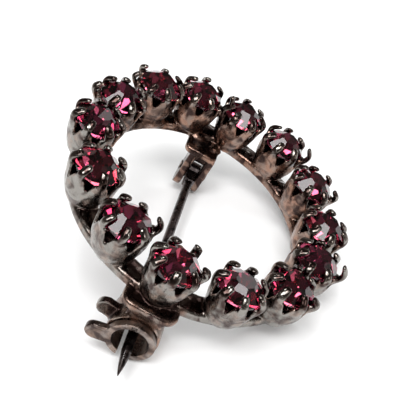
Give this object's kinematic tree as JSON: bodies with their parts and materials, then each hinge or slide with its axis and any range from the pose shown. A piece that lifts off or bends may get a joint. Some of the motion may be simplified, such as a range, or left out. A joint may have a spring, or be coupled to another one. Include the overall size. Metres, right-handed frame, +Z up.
{
  "type": "rhinestone brooch",
  "caption": "Openwork circle brooch: a ring of claw-set cut stones on a round band, with a hinged pin and a turning safety catch behind.",
  "frame": {"origin": "centre of the bounding box, on the surface that the brooch rests on", "axes": "+Z up; it lies on its back, leaning about 21 degrees to +X, the catch towards -Y, the hinge towards +Y, the pin along Y"},
  "size_m": [0.0318, 0.0386, 0.0172],
  "materials": {
    "tarnished_silver": "tarnished silver-coloured metal",
    "pin_steel": "dark aged pin wire",
    "purple_glass": "polished facets"
  },
  "bodies": {
    "frame": {"soldered_frame": "tarnished_silver", "hinge_rivet": "tarnished_silver", "stone_01": "purple_glass", "stone_02": "purple_glass", "stone_03": "purple_glass", "stone_04": "purple_glass", "stone_05": "purple_glass", "stone_06": "purple_glass", "stone_07": "purple_glass", "stone_08": "purple_glass", "stone_09": "purple_glass", "stone_10": "purple_glass", "stone_11": "purple_glass", "stone_12": "purple_glass", "stone_13": "purple_glass", "stone_14": "purple_glass"},
    "pin": {"pin_stem": "pin_steel"},
    "sleeve": {"catch_sleeve": "tarnished_silver"}
  },
  "joints": [
    {"name": "pin_swing", "type": "hinge", "parent": "frame", "child": "pin", "pos_m": [-0.00369, 0.01316, 0.00297], "axis": [0.9325, 0.0015, -0.3613], "range_deg": [0, 85]},
    {"name": "catch_turn", "type": "hinge", "parent": "frame", "child": "sleeve", "pos_m": [-0.00373, -0.01279, 0.00276], "axis": [0.0015, 1, 0.008], "range_deg": [0, 80]}
  ]
}
